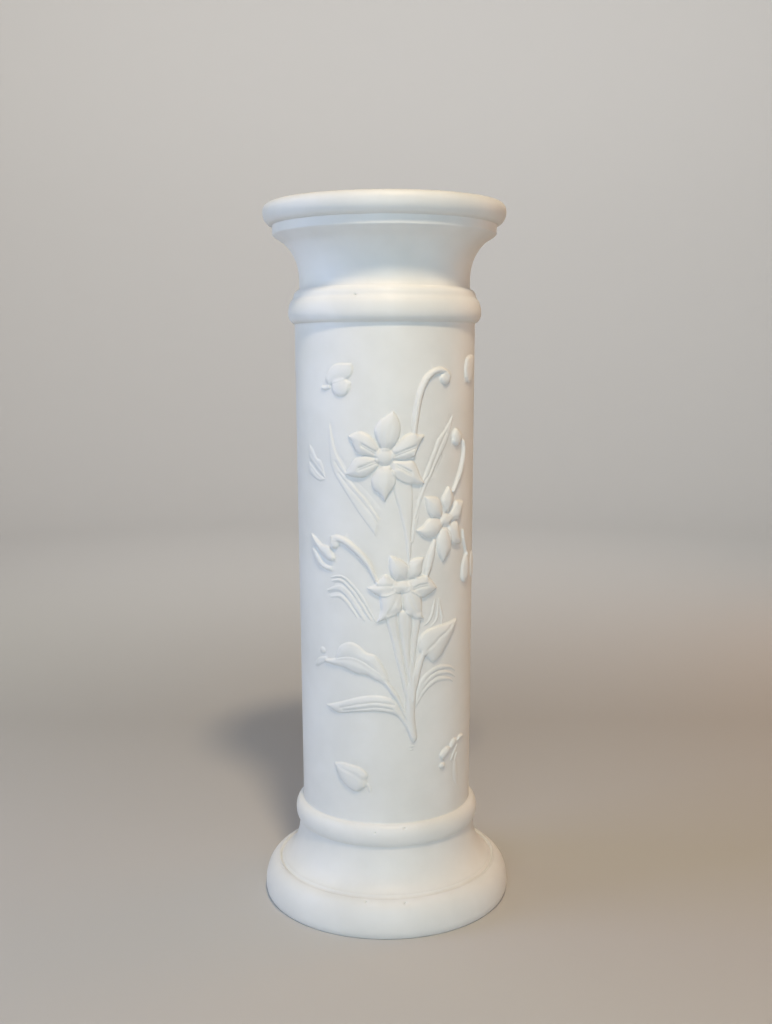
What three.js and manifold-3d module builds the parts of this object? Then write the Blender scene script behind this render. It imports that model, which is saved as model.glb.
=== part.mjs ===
// A cast plaster column pedestal: a turned foot, a straight round shaft with a raised spray
// of narcissus flowers, leaves and buds, and a flared head with a rounded rim.
// It was cast in one mould, so it is one closed solid. Millimetres, +Z up, front towards -Y.
// The origin is the middle of the underside.

import * as THREE from 'three';
import { mergeVertices } from 'three/addons/utils/BufferGeometryUtils.js';
import Module from 'manifold-3d';

const wasm = await Module();
wasm.setup();

// Driving sizes of the turned body
const HEIGHT = 915;
const SHAFT_RADIUS = 114.4;
const SHAFT_LOW_RADIUS = 112.6;
const SHAFT_HIGH_RADIUS = 117;
const RIM_RADIUS = 156.2;
const RIM_WIDEST_Z = 904.6;
const TOP_FLAT_RADIUS = 147.8;
const FILLET_RADIUS = 144;
const FILLET_TOP_Z = 888;
const FILLET_BOTTOM_Z = 874.6;
const FILLET_EDGE = 2.3;
const SOFFIT_RADIUS = 130;
const NECK_RADIUS = 110.2;
const NECK_TOP_Z = 818.9;
const NECK_BOTTOM_Z = 807.8;
const CAVETTO_REACH = 46.6;
const CAVETTO_RISE = 58.9;
const STEP_RADIUS = 118.5;
const STEP_Z = 796.3;
const ASTRAGAL_RADIUS = 125;
const ASTRAGAL_Z = 777.6;
const ASTRAGAL_BOTTOM_Z = 764.6;
const TORUS_TOP_Z = 130.7;
const TORUS_RADIUS = 122.8;
const TORUS_Z = 116.1;
const NOTCH_RADIUS = 117.6;
const NOTCH_Z = 102.4;
const GROOVE_RADIUS = 143.7;
const GROOVE_Z = 46.7;
const PLINTH_RADIUS = 165.5;
const PLINTH_WIDEST_Z = 11.2;
const FOOT_RADIUS = 161.8;

// How finely the turned body is faceted
const TURNS = 40;
const LONG_ARC = 4;
const SHORT_ARC = 3;
const SMALL_ARC = 2;

// How far a raised form reaches into the wall, at its edge and along its keel
const EDGE_BELOW = 0.5;
const SINK = 2;

// Closer together than this counts as the same place
const SAME_PLACE = 1e-3;

const QUARTER = Math.PI / 2;
const radians = (degrees) => (degrees * Math.PI) / 180;

function arc(centreRadius, centreZ, across, up, from, to, steps) {
  const curve = new THREE.EllipseCurve(
    centreRadius, centreZ, across, up, radians(from), radians(to), to < from);
  return curve.getPoints(steps);
}

// The outline of one side, from the middle of the underside up to the middle of the top
function turnedOutline() {
  const point = (radius, z) => new THREE.Vector2(radius, z);
  const footTuck = PLINTH_RADIUS - FOOT_RADIUS;
  const footTurn = 60;
  const astragalInset = 1.4;
  const astragalTurn = 80;
  const stepFrom = 10;
  const stepTo = 68;
  const footRise = PLINTH_WIDEST_Z / Math.sin(radians(footTurn));
  const scotiaTurn = 76.5;
  const scotiaReach = (GROOVE_RADIUS - NOTCH_RADIUS) / (1 - Math.cos(radians(scotiaTurn)));
  const scotiaDrop = (NOTCH_Z - GROOVE_Z) / Math.sin(radians(scotiaTurn));
  const cavettoCentre = NECK_RADIUS + CAVETTO_REACH;
  const cavettoTurn = THREE.MathUtils.radToDeg(
    Math.acos((cavettoCentre - SOFFIT_RADIUS) / CAVETTO_REACH));
  const astragalInner = STEP_RADIUS - astragalInset;
  return [
    point(0, 0),
    ...arc(FOOT_RADIUS - footTuck, PLINTH_WIDEST_Z, 2 * footTuck, footRise, -footTurn, 0, 1),
    ...arc(GROOVE_RADIUS, PLINTH_WIDEST_Z, PLINTH_RADIUS - GROOVE_RADIUS,
      GROOVE_Z - PLINTH_WIDEST_Z, 0, 90, LONG_ARC).slice(1),
    ...arc(NOTCH_RADIUS + scotiaReach, NOTCH_Z, scotiaReach, scotiaDrop,
      180 + scotiaTurn, 180, LONG_ARC).slice(1),
    ...arc(NOTCH_RADIUS, TORUS_Z, TORUS_RADIUS - NOTCH_RADIUS, TORUS_Z - NOTCH_Z,
      -90, 0, SMALL_ARC).slice(1),
    ...arc(SHAFT_LOW_RADIUS, TORUS_Z, TORUS_RADIUS - SHAFT_LOW_RADIUS, TORUS_TOP_Z - TORUS_Z,
      0, 90, SHORT_ARC).slice(1),
    ...arc(SHAFT_HIGH_RADIUS, ASTRAGAL_Z, ASTRAGAL_RADIUS - SHAFT_HIGH_RADIUS,
      ASTRAGAL_Z - ASTRAGAL_BOTTOM_Z, -90, 0, SHORT_ARC),
    ...arc(astragalInner, ASTRAGAL_Z, ASTRAGAL_RADIUS - astragalInner,
      STEP_Z - ASTRAGAL_Z, 0, astragalTurn, SHORT_ARC).slice(1),
    ...arc(NECK_RADIUS, STEP_Z, STEP_RADIUS - NECK_RADIUS, NECK_BOTTOM_Z - STEP_Z,
      stepFrom, stepTo, SMALL_ARC),
    point(NECK_RADIUS, NECK_BOTTOM_Z),
    ...arc(cavettoCentre, NECK_TOP_Z, CAVETTO_REACH, CAVETTO_RISE,
      180, 180 - cavettoTurn, LONG_ARC),
    point(FILLET_RADIUS - FILLET_EDGE, FILLET_BOTTOM_Z),
    point(FILLET_RADIUS, FILLET_BOTTOM_Z + FILLET_EDGE),
    point(FILLET_RADIUS, FILLET_TOP_Z),
    ...arc(FILLET_RADIUS, RIM_WIDEST_Z, RIM_RADIUS - FILLET_RADIUS,
      RIM_WIDEST_Z - FILLET_TOP_Z, -90, 0, LONG_ARC).slice(1),
    ...arc(TOP_FLAT_RADIUS, RIM_WIDEST_Z, RIM_RADIUS - TOP_FLAT_RADIUS,
      HEIGHT - RIM_WIDEST_Z, 0, 90, SHORT_ARC).slice(1),
    point(0, HEIGHT),
  ];
}

// A closed solid from any closed geometry, its shared corners merged and slivers dropped
function solid(geometry) {
  geometry.deleteAttribute('normal');
  geometry.deleteAttribute('uv');
  const merged = mergeVertices(geometry, SAME_PLACE);
  const corners = merged.index.array;
  const kept = [];
  for (let i = 0; i < corners.length; i += 3) {
    const [a, b, c] = corners.slice(i, i + 3);
    if (a !== b && b !== c && c !== a) {
      kept.push(a, b, c);
    }
  }
  return new wasm.Manifold(new wasm.Mesh({
    numProp: 3,
    vertProperties: new Float32Array(merged.attributes.position.array),
    triVerts: new Uint32Array(kept),
  }));
}

function turnedBody() {
  const lathe = new THREE.LatheGeometry(turnedOutline(), TURNS);
  lathe.rotateX(QUARTER);
  return solid(lathe);
}

// The shaft swells a little from the foot to the head
function wallRadius(z) {
  return THREE.MathUtils.mapLinear(
    z, TORUS_TOP_Z, ASTRAGAL_BOTTOM_Z, SHAFT_LOW_RADIUS, SHAFT_HIGH_RADIUS);
}

// The wall is described flat: u runs round it to the right of the front, measured at the
// shaft's middle girth, z goes up it, and the last number stands out of it.
function onWall(u, z, out) {
  const turn = u / SHAFT_RADIUS;
  const radius = wallRadius(z) + out;
  return [radius * Math.sin(turn), -radius * Math.cos(turn), z];
}

// A width that swells from one end and tapers to the other, 1 at its widest. The two powers
// say how blunt the first end and the last end are.
function swelling(first, last) {
  const widest = first / (first + last);
  return (t) => (t / widest) ** first * ((1 - t) / (1 - widest)) ** last;
}

// A width with two round ends. At a bluntness of 2 the form is a circle or an ellipse.
function roundEnded(bluntness) {
  return (t) => Math.min(1, bluntness * Math.sqrt(t * (1 - t)));
}

// Each kind of raised form: how far it stands out, how its width runs from end to end, and how
// many facets it has along and around
const PETAL = { height: 5.5, shape: swelling(0.55, 0.85), along: 5, around: 6 };
const LEAF = { height: 4.5, shape: swelling(0.45, 0.8), along: 5, around: 6 };
const STEM = { height: 4.2, shape: roundEnded(3), along: 7, around: 5 };
const BLADE = { height: 1.4, shape: swelling(0.6, 0.6), along: 5, around: 4 };
const BOSS = { shape: roundEnded(2), along: 5, around: 6 };
const KNOB_HEIGHT = 5.2;
const BUTTON_HEIGHT = 6.5;

// The corners of a ridge's section: a round back from edge to edge, and one keel in the wall
function sectionCorner(place, around) {
  if (place === around - 1) {
    return [0, -1];
  }
  const angle = (Math.PI * place) / (around - 2);
  return [Math.cos(angle), Math.sin(angle)];
}

// A rounded ridge that follows a line on the wall, made from a ball: its poles are the two
// ends of the line and its equator wraps the width
function ridge(line, width, { height, shape, along, around }) {
  const path = new THREE.CatmullRomCurve3(line.map(([u, z]) => new THREE.Vector3(u, z, 0)));
  const ball = new THREE.SphereGeometry(1, around, along);
  const places = ball.attributes.position;
  for (let i = 0; i < places.count; i += 1) {
    const pole = THREE.MathUtils.clamp(places.getY(i), -1, 1);
    const t = Math.acos(pole) / Math.PI;
    const ring = Math.hypot(places.getX(i), places.getZ(i));
    const turn = Math.atan2(places.getZ(i), places.getX(i)) / (2 * Math.PI);
    const place = (Math.round(turn * around) + around) % around;
    const atEnd = ring < SAME_PLACE;
    const [side, lift] = atEnd ? [0, 0] : sectionCorner(place, around);
    const centre = path.getPointAt(t);
    const run = path.getTangentAt(t);
    const size = atEnd ? 0 : shape(t);
    const half = (side * size * width) / 2;
    const rise = height * Math.sqrt(size);
    const out = lift > SAME_PLACE ? rise * lift : -EDGE_BELOW + SINK * lift;
    places.setXYZ(i, ...onWall(centre.x - run.y * half, centre.y + run.x * half, out));
  }
  const made = solid(ball);
  if (made.volume() < 0) {
    throw new Error('a raised form is inside out');
  }
  return made;
}

const petal = (line, width) => ridge(line, width, PETAL);
const leaf = (line, width, height = LEAF.height) => ridge(line, width, { ...LEAF, height });
const stem = (line, width, along = STEM.along) => ridge(line, width, { ...STEM, along });
const blade = (line, width) => ridge(line, width, BLADE);

// A low rounded button, for flower centres, knobs and the plump parts of buds
function boss(u, z, halfAcross, halfUp, height) {
  return ridge([[u, z - halfUp], [u, z], [u, z + halfUp]], 2 * halfAcross, { ...BOSS, height });
}

// A flower of six petals round a button. Each petal is given by the way it points, its length
// and how far its middle bends aside.
function flower([u, z], petals, width, button) {
  const startsAt = 0.06;
  const bendsAt = 0.55;
  const squash = 0.9;
  const parts = petals.map(([turn, length, bend = 0]) => {
    const run = [Math.cos(radians(turn)), Math.sin(radians(turn))];
    const at = (far, aside) => [
      u + run[0] * far - run[1] * aside, z + run[1] * far + run[0] * aside];
    return petal([at(startsAt * length, 0), at(bendsAt * length, bend), at(length, 0)], width);
  });
  return [...parts, boss(u, z, button, button * squash, BUTTON_HEIGHT)];
}

// The plants that the front shows, and again, fewer and mirrored, the ones on the back
const tallFlower = () => flower([0, 600],
  [[80, 57, -2], [27, 56, 1], [-34, 58, 3], [-90, 55], [-158, 55], [148, 55, -3]], 30, 12);
const smallFlower = () => flower([81, 518],
  [[85, 44], [136, 47], [191, 47], [-98, 53], [-49, 43], [34, 41]], 25, 9);
const lowFlower = () => flower([22, 439],
  [[113, 43], [52, 44], [-5, 46], [-56, 51], [-127, 57], [181, 47]], 27, 10);

const mainStems = () => [
  stem([[31, 330], [30, 285], [32, 250], [36, 238]], 13),
  stem([[8, 400], [15, 360], [24, 315], [31, 285]], 11),
  stem([[24, 400], [26, 352], [29, 315], [33, 285]], 12),
  stem([[40, 400], [36, 360], [34, 320], [34, 285]], 9),
  stem([[22, 580], [24, 545], [28, 512], [30, 470]], 11),
];
const leafAndStalk = () => [
  leaf([[45, 349], [61, 364], [79, 376], [104, 390]], 40),
  stem([[50, 353], [42, 335], [37, 315], [34, 292]], 10),
];
const longLeaf = () => [
  leaf([[36, 240], [20, 271], [-10, 289], [-45, 287], [-84, 280]], 21, 3.2),
];
const rightArches = () => [
  blade([[36, 285], [44, 313], [71, 327], [102, 318]], 11),
  blade([[37, 282], [50, 307], [74, 315], [102, 303]], 9),
];
const curledStem = () => [
  stem([[34, 602], [40, 650], [53, 693], [69, 706], [84, 700], [82, 690]], 9, 11),
  boss(81, 694, 7, 6.5, KNOB_HEIGHT),
];
const lowFloatingLeaf = () => [
  leaf([[-26, 182], [-46, 191], [-71, 207]], 32),
  stem([[-28, 182], [-22, 180], [-21, 172]], 6, 5),
];
const highBud = () => [
  leaf([[-75, 690], [-60, 705], [-39, 713]], 24, 3.2),
  boss(-55, 686, 13, 12, LEAF.height),
  stem([[-84, 684.5], [-78, 684], [-70, 687]], 6, 5),
];

const frontOnly = () => [
  stem([[64, 494], [57, 470], [51, 446]], 11, 6),
  stem([[116, 617], [118, 605], [110, 580], [94, 554]], 9),
  boss(101, 623, 12, 11, KNOB_HEIGHT),
  stem([[-11, 443], [-22, 467], [-37, 487], [-54, 498], [-68, 496], [-68, 487]], 9, 11),
  boss(-65, 490, 7, 7, KNOB_HEIGHT),
  leaf([[26, 270], [8, 304], [-20, 330], [-56, 339], [-84, 338]], 17),
  leaf([[3, 322], [-14, 344], [-40, 355], [-66, 346]], 22),
  boss(-94, 338, 10, 7, 2.6),
  boss(-89, 350, 5, 5, 3.4),
  blade([[-11, 392], [-29, 424], [-54, 446], [-78, 445]], 8),
  blade([[-19, 397], [-36, 421], [-55, 439], [-76, 435]], 8),
  blade([[-28, 396], [-42, 414], [-58, 427], [-75, 424]], 6),
  blade([[-10, 508], [-40, 549], [-66, 590], [-75, 644]], 8),
  blade([[-8, 528], [-32, 554], [-56, 588], [-70, 622]], 8),
  blade([[33, 488], [43, 537], [63, 597], [96, 650]], 8),
  blade([[38, 496], [50, 540], [68, 586], [92, 630]], 7),
  leaf([[-66, 470], [-87, 482], [-111, 500]], 16),
  leaf([[-71, 458], [-90, 467], [-109, 482]], 15, 3.6),
  leaf([[-80, 572], [-96, 588], [-113, 610]], 18, 2.8),
  leaf([[-80, 571], [-98, 576], [-115, 585]], 15, 2.8),
  leaf([[122, 436], [123, 452], [124, 476]], 21),
  stem([[116, 503], [119, 488], [124, 474]], 6, 5),
  boss(146, 449, 11, 20, 3.4),
  boss(134, 707, 16, 16, 3.4),
  leaf([[74, 206], [82, 216], [93, 222]], 13),
  leaf([[90, 219], [98, 226], [106, 229]], 9, 3.4),
  leaf([[105, 225], [115, 229], [126, 229]], 8, 3.2),
  boss(78, 199, 5, 4, 3.4),
  leaf([[94, 203], [101, 212], [109, 221]], 7, 2),
  blade([[103, 198], [104, 180], [107, 165]], 8),
];

const frontForms = () => [
  ...tallFlower(), ...smallFlower(), ...lowFlower(), ...mainStems(), ...leafAndStalk(),
  ...longLeaf(), ...rightArches(), ...curledStem(), ...lowFloatingLeaf(), ...highBud(),
  ...frontOnly(),
];

const backForms = () => [
  stem([[9, 590], [16, 470], [28, 340], [37, 237]], 12, 12),
  ...tallFlower(), ...leafAndStalk(), ...longLeaf(), ...rightArches(), ...lowFloatingLeaf(),
  ...highBud(),
];

function plasterColumn() {
  let cast = turnedBody();
  for (const form of frontForms()) {
    cast = cast.add(form);
  }
  for (const form of backForms()) {
    cast = cast.add(form.mirror([0, 1, 0]));
  }
  return cast;
}

function geometryOf(shape) {
  const mesh = shape.getMesh();
  const geometry = new THREE.BufferGeometry();
  geometry.setAttribute('position', new THREE.BufferAttribute(mesh.vertProperties, 3));
  geometry.setIndex(new THREE.BufferAttribute(mesh.triVerts, 1));
  return geometry;
}

const plaster = new THREE.MeshStandardMaterial({ color: 0xe4e4dc, roughness: 0.62, metalness: 0 });
const column = new THREE.Mesh(geometryOf(plasterColumn()), plaster);
column.name = 'column';

const object = new THREE.Group();
object.add(column);
export default object;
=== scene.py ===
# %% [markdown]
# # A plaster column pedestal
# The real thing is one hollow plaster casting: a turned foot, a round shaft that swells a
# little towards the top and carries a raised spray of narcissus, and a flared head with a
# rounded rim. It came out of one mould, so it is one piece here too. Everything is in
# millimetres until the mesh is made, because a maker measures a casting in millimetres, and
# Blender gets metres.

import math
from collections import namedtuple

import bmesh
import bpy
import numpy as np
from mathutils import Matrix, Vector, geometry


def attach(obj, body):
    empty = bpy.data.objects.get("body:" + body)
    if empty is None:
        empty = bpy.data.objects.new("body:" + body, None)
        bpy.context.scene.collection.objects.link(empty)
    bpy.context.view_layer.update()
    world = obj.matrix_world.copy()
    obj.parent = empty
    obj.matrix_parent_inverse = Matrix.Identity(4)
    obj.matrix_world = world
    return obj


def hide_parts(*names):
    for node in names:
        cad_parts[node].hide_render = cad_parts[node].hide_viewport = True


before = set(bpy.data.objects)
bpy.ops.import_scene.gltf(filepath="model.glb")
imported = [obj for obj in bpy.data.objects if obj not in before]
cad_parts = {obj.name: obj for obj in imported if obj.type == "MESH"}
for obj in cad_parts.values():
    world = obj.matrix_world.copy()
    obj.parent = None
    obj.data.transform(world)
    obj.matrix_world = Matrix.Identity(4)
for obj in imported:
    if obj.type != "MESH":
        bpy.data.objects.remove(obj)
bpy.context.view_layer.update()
MM = 0.001

# %% [markdown]
# ## The outline of the turned body
# A plasterer turns such a body with a template, a board cut to the outline of one side. The
# outline is made here in the same way, as a chain of arcs from the middle of the underside, up
# the side, to the middle of the top. Every arc is a quarter or less of an ellipse, given by its
# centre, its two half sizes and the angles it runs between.

# %% Foot
PLINTH_RADIUS = 165.5
PLINTH_WIDEST_Z = 11.2
PLINTH_STEPS = 12
FOOT_RADIUS = 161.8
FOOT_TURN = 60
FOOT_STEPS = 5
FLAT_EDGE = 8.0
GROOVE_RADIUS = 143.7
GROOVE_Z = 46.7
GROOVE_DEEP = 2.6
GROOVE_HALF = 3.0
NOTCH_RADIUS = 117.6
NOTCH_Z = 102.4
SCOTIA_TURN = 76.5
HOLLOW_STEPS = 14


def arc(centre, across, up, start, end, steps):
    """Points on an ellipse, angles in degrees from the outward direction."""
    angles = np.radians(np.linspace(start, end, steps + 1))
    return [(centre[0] + across * math.cos(a), centre[1] + up * math.sin(a)) for a in angles]


tuck = PLINTH_RADIUS - FOOT_RADIUS
tuck_rise = PLINTH_WIDEST_Z / math.sin(math.radians(FOOT_TURN))
scotia_reach = (GROOVE_RADIUS - NOTCH_RADIUS) / (1 - math.cos(math.radians(SCOTIA_TURN)))
scotia_drop = (NOTCH_Z - GROOVE_Z) / math.sin(math.radians(SCOTIA_TURN))
foot = [(0.0, 0.0), (FOOT_RADIUS - FLAT_EDGE, 0.0)]
foot += arc((FOOT_RADIUS - tuck, PLINTH_WIDEST_Z), 2 * tuck, tuck_rise, -FOOT_TURN, 0, FOOT_STEPS)
foot += arc((GROOVE_RADIUS, PLINTH_WIDEST_Z), PLINTH_RADIUS - GROOVE_RADIUS,
            GROOVE_Z - PLINTH_WIDEST_Z, 0, 90, PLINTH_STEPS)[1:-1]
foot += [(GROOVE_RADIUS + GROOVE_HALF, GROOVE_Z), (GROOVE_RADIUS, GROOVE_Z - GROOVE_DEEP),
         (GROOVE_RADIUS - GROOVE_HALF, GROOVE_Z + GROOVE_HALF / 2)]
foot += arc((NOTCH_RADIUS + scotia_reach, NOTCH_Z), scotia_reach, scotia_drop,
            180 + SCOTIA_TURN, 180, HOLLOW_STEPS)[1:]
print(len(foot), "points up to the top of the foot")

# %% Shaft between its two mouldings
SHAFT_LOW_RADIUS = 112.6
SHAFT_HIGH_RADIUS = 117.0
SHAFT_FROM_Z = 130.7
SHAFT_TO_Z = 764.6
TORUS_RADIUS = 122.8
TORUS_Z = 116.1
TORUS_LOW_STEPS = 6
ASTRAGAL_RADIUS = 125.0
ASTRAGAL_Z = 777.6
ROUND_STEPS = 8

shaft = arc((NOTCH_RADIUS, TORUS_Z), TORUS_RADIUS - NOTCH_RADIUS, TORUS_Z - NOTCH_Z,
            -90, 0, TORUS_LOW_STEPS)[1:]
shaft += arc((SHAFT_LOW_RADIUS, TORUS_Z), TORUS_RADIUS - SHAFT_LOW_RADIUS,
             SHAFT_FROM_Z - TORUS_Z, 0, 90, ROUND_STEPS)[1:]
shaft += arc((SHAFT_HIGH_RADIUS, ASTRAGAL_Z), ASTRAGAL_RADIUS - SHAFT_HIGH_RADIUS,
             ASTRAGAL_Z - SHAFT_TO_Z, -90, 0, ROUND_STEPS)
print(len(shaft), "points up the shaft, to the widest place under the head")

# %% Head
STEP_RADIUS = 118.5
STEP_Z = 796.3
STEP_INSET = 1.4
STEP_TURNS = (10, 68)
STEP_STEPS = 5
ASTRAGAL_TURN = 80
NECK_RADIUS = 110.2
NECK_BOTTOM_Z = 807.8
NECK_TOP_Z = 818.9
CAVETTO_REACH = 46.6
CAVETTO_RISE = 58.9
SOFFIT_RADIUS = 130.0
FILLET_RADIUS = 144.0
FILLET_BOTTOM_Z = 874.6
FILLET_TOP_Z = 888.0
FILLET_EDGE = 2.3
RIM_RADIUS = 156.2
RIM_WIDEST_Z = 904.6
TOP_FLAT_RADIUS = 147.8
HEIGHT = 915.0

cavetto_centre = NECK_RADIUS + CAVETTO_REACH
cavetto_turn = math.degrees(math.acos((cavetto_centre - SOFFIT_RADIUS) / CAVETTO_REACH))
head = arc((STEP_RADIUS - STEP_INSET, ASTRAGAL_Z), ASTRAGAL_RADIUS - STEP_RADIUS + STEP_INSET,
           STEP_Z - ASTRAGAL_Z, 0, ASTRAGAL_TURN, ROUND_STEPS)[1:]
head += arc((NECK_RADIUS, STEP_Z), STEP_RADIUS - NECK_RADIUS, NECK_BOTTOM_Z - STEP_Z,
            *STEP_TURNS, STEP_STEPS)
head += [(NECK_RADIUS, NECK_BOTTOM_Z)]
head += arc((cavetto_centre, NECK_TOP_Z), CAVETTO_REACH, CAVETTO_RISE,
            180, 180 - cavetto_turn, HOLLOW_STEPS)
head += [(FILLET_RADIUS - FILLET_EDGE, FILLET_BOTTOM_Z),
         (FILLET_RADIUS, FILLET_BOTTOM_Z + FILLET_EDGE), (FILLET_RADIUS, FILLET_TOP_Z)]
head += arc((FILLET_RADIUS, RIM_WIDEST_Z), RIM_RADIUS - FILLET_RADIUS,
            RIM_WIDEST_Z - FILLET_TOP_Z, -90, 0, ROUND_STEPS)[1:]
head += arc((TOP_FLAT_RADIUS, RIM_WIDEST_Z), RIM_RADIUS - TOP_FLAT_RADIUS,
            HEIGHT - RIM_WIDEST_Z, 0, 90, ROUND_STEPS)[1:]
head += [(TOP_FLAT_RADIUS - FLAT_EDGE, HEIGHT), (0.0, HEIGHT)]
sharp_outline = np.array(foot + shaft + head)
print(len(sharp_outline), "points in the whole outline")

# %% [markdown]
# ## Soft creases
# A cast has no knife edges: the mould's own edges are round, and slip and paint fill the
# corners. Each crease is cut back a little on both sides and gets a rounded corner. The step
# under the neck is softer still, as if a wet sponge had rubbed it, so it is blurred as well.

# %% Round the creases
EASE = 0.9
EASE_SHARE = 0.4
CREASE_DEGREES = 20


def eased(points):
    """The outline with a small rounded corner at each crease."""
    kept = [points[0]]
    for before, here, after in zip(points[:-2], points[1:-1], points[2:]):
        back = before - here
        on = after - here
        cosine = -back @ on / np.linalg.norm(back) / np.linalg.norm(on)
        if math.degrees(math.acos(np.clip(cosine, -1, 1))) < CREASE_DEGREES:
            kept.append(here)
            continue
        a = here + back * min(EASE / np.linalg.norm(back), EASE_SHARE)
        b = here + on * min(EASE / np.linalg.norm(on), EASE_SHARE)
        kept += [a, (a + 2 * here + b) / 4, b]
    kept.append(points[-1])
    return np.array(kept)


round_outline = eased(sharp_outline)
print(len(round_outline), "points once the creases are round")

# %% Sponge the step under the neck
SPONGE_LOW_Z = 783.0
SPONGE_HIGH_Z = 808.5
SPONGE_REACH = 2.6
SPONGE_TAIL = 3
SPONGE_SPACING = 0.5
SPONGE_GAP = 0.2
KEEP_EACH = 3


def lengths(points):
    """How far along the line each of its points is."""
    return np.concatenate([[0], np.cumsum(np.hypot(*np.diff(points, axis=0).T))])


def places_along(points, marks):
    """The places that are these lengths along the line."""
    far = lengths(points)
    return np.stack([np.interp(marks, far, points[:, k]) for k in (0, 1)], -1)


def sponged(points):
    """The outline blurred between the two sponge heights and kept as it was elsewhere."""
    far = lengths(points)
    marks = np.arange(0, far[-1], SPONGE_SPACING)
    fine = places_along(points, marks)
    half = int(SPONGE_TAIL * SPONGE_REACH / SPONGE_SPACING)
    weights = np.exp(-(np.arange(-half, half + 1) * SPONGE_SPACING / SPONGE_REACH) ** 2)
    weights /= weights.sum()
    padded = np.pad(fine, ((half, half), (0, 0)), mode="edge")
    soft = np.stack([np.convolve(padded[:, k], weights, "valid") for k in (0, 1)], -1)
    zone = np.flatnonzero((fine[:, 1] > SPONGE_LOW_Z) & (fine[:, 1] < SPONGE_HIGH_Z))
    before = points[far < marks[zone[0]] - SPONGE_GAP]
    after = points[far > marks[zone[-1]] + SPONGE_GAP]
    return np.vstack([before, soft[zone[::KEEP_EACH]], after])


outline = sponged(round_outline)
run = lengths(outline)
foot_of_shaft = np.argmin(np.hypot(*(outline - (SHAFT_LOW_RADIUS, SHAFT_FROM_Z)).T))
shaft_start = run[foot_of_shaft]
lift = shaft_start - outline[foot_of_shaft, 1]
print(len(outline), "points,", round(run[-1], 1), "mm along the outline; the shaft starts at",
      round(shaft_start, 1), "mm")

# %% [markdown]
# ## The raised spray, drawn flat
# A carver draws the spray on the unrolled wall first. `u` runs round the wall to the right of
# the front and `z` goes up it. Each raised form is a closed loop: two edges that meet at a tip
# for a petal or a leaf, a thick line for a stem or a blade, an oval for a knob.

# %% Smooth lines
MARK_SPACING = 1.1
CURVE_STEPS = 12
FEWEST_MARKS = 4


def curve_through(points):
    """A smooth line through the points, with marks at an even spacing."""
    p = np.array(points, float)
    if len(p) == 2:
        p = np.array([p[0], (p[0] + p[1]) / 2, p[1]])
    q = np.vstack([2 * p[0] - p[1], p, 2 * p[-1] - p[-2]])
    t = np.linspace(0, 1, CURVE_STEPS, endpoint=False)[:, None]
    line = []
    for a, b, c, d in zip(q[:-3], q[1:-2], q[2:-1], q[3:]):
        line.append(0.5 * (2 * b + (c - a) * t + (2 * a - 5 * b + 4 * c - d) * t ** 2
                           + (3 * b - a - 3 * c + d) * t ** 3))
    line = np.vstack(line + [p[-1:]])
    far = lengths(line)[-1]
    marks = np.linspace(0, far, max(FEWEST_MARKS, int(round(far / MARK_SPACING)) + 1))
    return places_along(line, marks)


print(len(curve_through([(0, 0), (30, 5), (60, 0)])), "marks on a shallow bow 60 mm long")

# %% Loops
TAPER = 3
FEWEST_CORNERS = 10
CORNERS_PER_MM = 3


def between(edge_a, edge_b):
    """A closed loop from two edges that both run from the base to the tip."""
    return np.vstack([curve_through(edge_a), curve_through(edge_b)[::-1]])


def stroke(points, width, start=0.5, end=0.5):
    """A closed loop round a line; it starts and ends at these shares of its width."""
    line = curve_through(points)
    slope = np.gradient(line, axis=0)
    side = np.stack([-slope[:, 1], slope[:, 0]], -1) / np.hypot(*slope.T)[:, None]
    t = np.linspace(0, 1, len(line))
    widening = start + (1 - start) * t * TAPER
    narrowing = end + (1 - end) * (1 - t) * TAPER
    half = (width / 2 * np.minimum(1, np.minimum(widening, narrowing)))[:, None]
    first = line[1] - line[0]
    last = line[-1] - line[-2]
    return np.vstack([line[0] - first / np.hypot(*first) * half[0], line + side * half,
                      line[-1] + last / np.hypot(*last) * half[-1], (line - side * half)[::-1]])


def round_loop(u, z, half_across, half_up):
    """A closed oval."""
    corners = max(FEWEST_CORNERS, int(half_across + half_up) * CORNERS_PER_MM)
    turns = np.linspace(0, 2 * np.pi, corners, endpoint=False)
    return np.stack([u + half_across * np.cos(turns), z + half_up * np.sin(turns)], -1)


print("corners of a small oval:", len(round_loop(0, 0, 4, 3)))

# %% Places on the swelling wall
SHAFT_RADIUS = 114.4


def seated(points):
    """Moves each place so that it looks as far across as on a straight shaft of this radius."""
    points = np.asarray(points, float)
    wall = np.interp(points[:, 1], (SHAFT_FROM_Z, SHAFT_TO_Z),
                     (SHAFT_LOW_RADIUS, SHAFT_HIGH_RADIUS))
    across = SHAFT_RADIUS * np.sin(points[:, 0] / SHAFT_RADIUS) / wall
    return np.stack([SHAFT_RADIUS * np.arcsin(np.clip(across, -1, 1)), points[:, 1]], -1)


print("a mark 60 mm to the right near the top moves to", seated([(60, 740)]).round(1)[0])

# %% [markdown]
# ## Kinds of form
# A kind says how high a form stands, how wide its rounded edge is, and what share of the height
# that edge takes. The rest of the height is a low crown across the middle, like a petal pressed
# into a mould. A cut says how deep a vein or a cup goes and how wide it is.

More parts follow.
